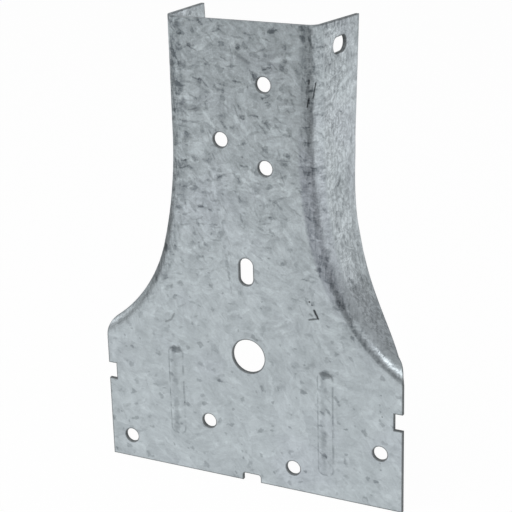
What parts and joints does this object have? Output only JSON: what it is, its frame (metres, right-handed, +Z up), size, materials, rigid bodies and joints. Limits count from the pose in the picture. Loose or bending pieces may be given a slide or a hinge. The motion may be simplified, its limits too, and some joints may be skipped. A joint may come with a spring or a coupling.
{
  "type": "stud plate tie",
  "caption": "Folded galvanised sheet-steel tie with curved side flanges that hold a wall stud and a flat foot nailed to the wall plate.",
  "frame": {"origin": "on the flat back face, on the middle line, level with the side notches", "axes": "+Z up along the stud, +Y out of the back face towards the stud, +X to the right seen from the front"},
  "size_m": [0.0888, 0.0234, 0.1286],
  "materials": {
    "zinc_sheet": "hot-dip galvanised, matt blue-grey with a small spangle"
  },
  "bodies": {
    "root": {"stud_plate_tie": "zinc_sheet"}
  },
  "joints": []
}
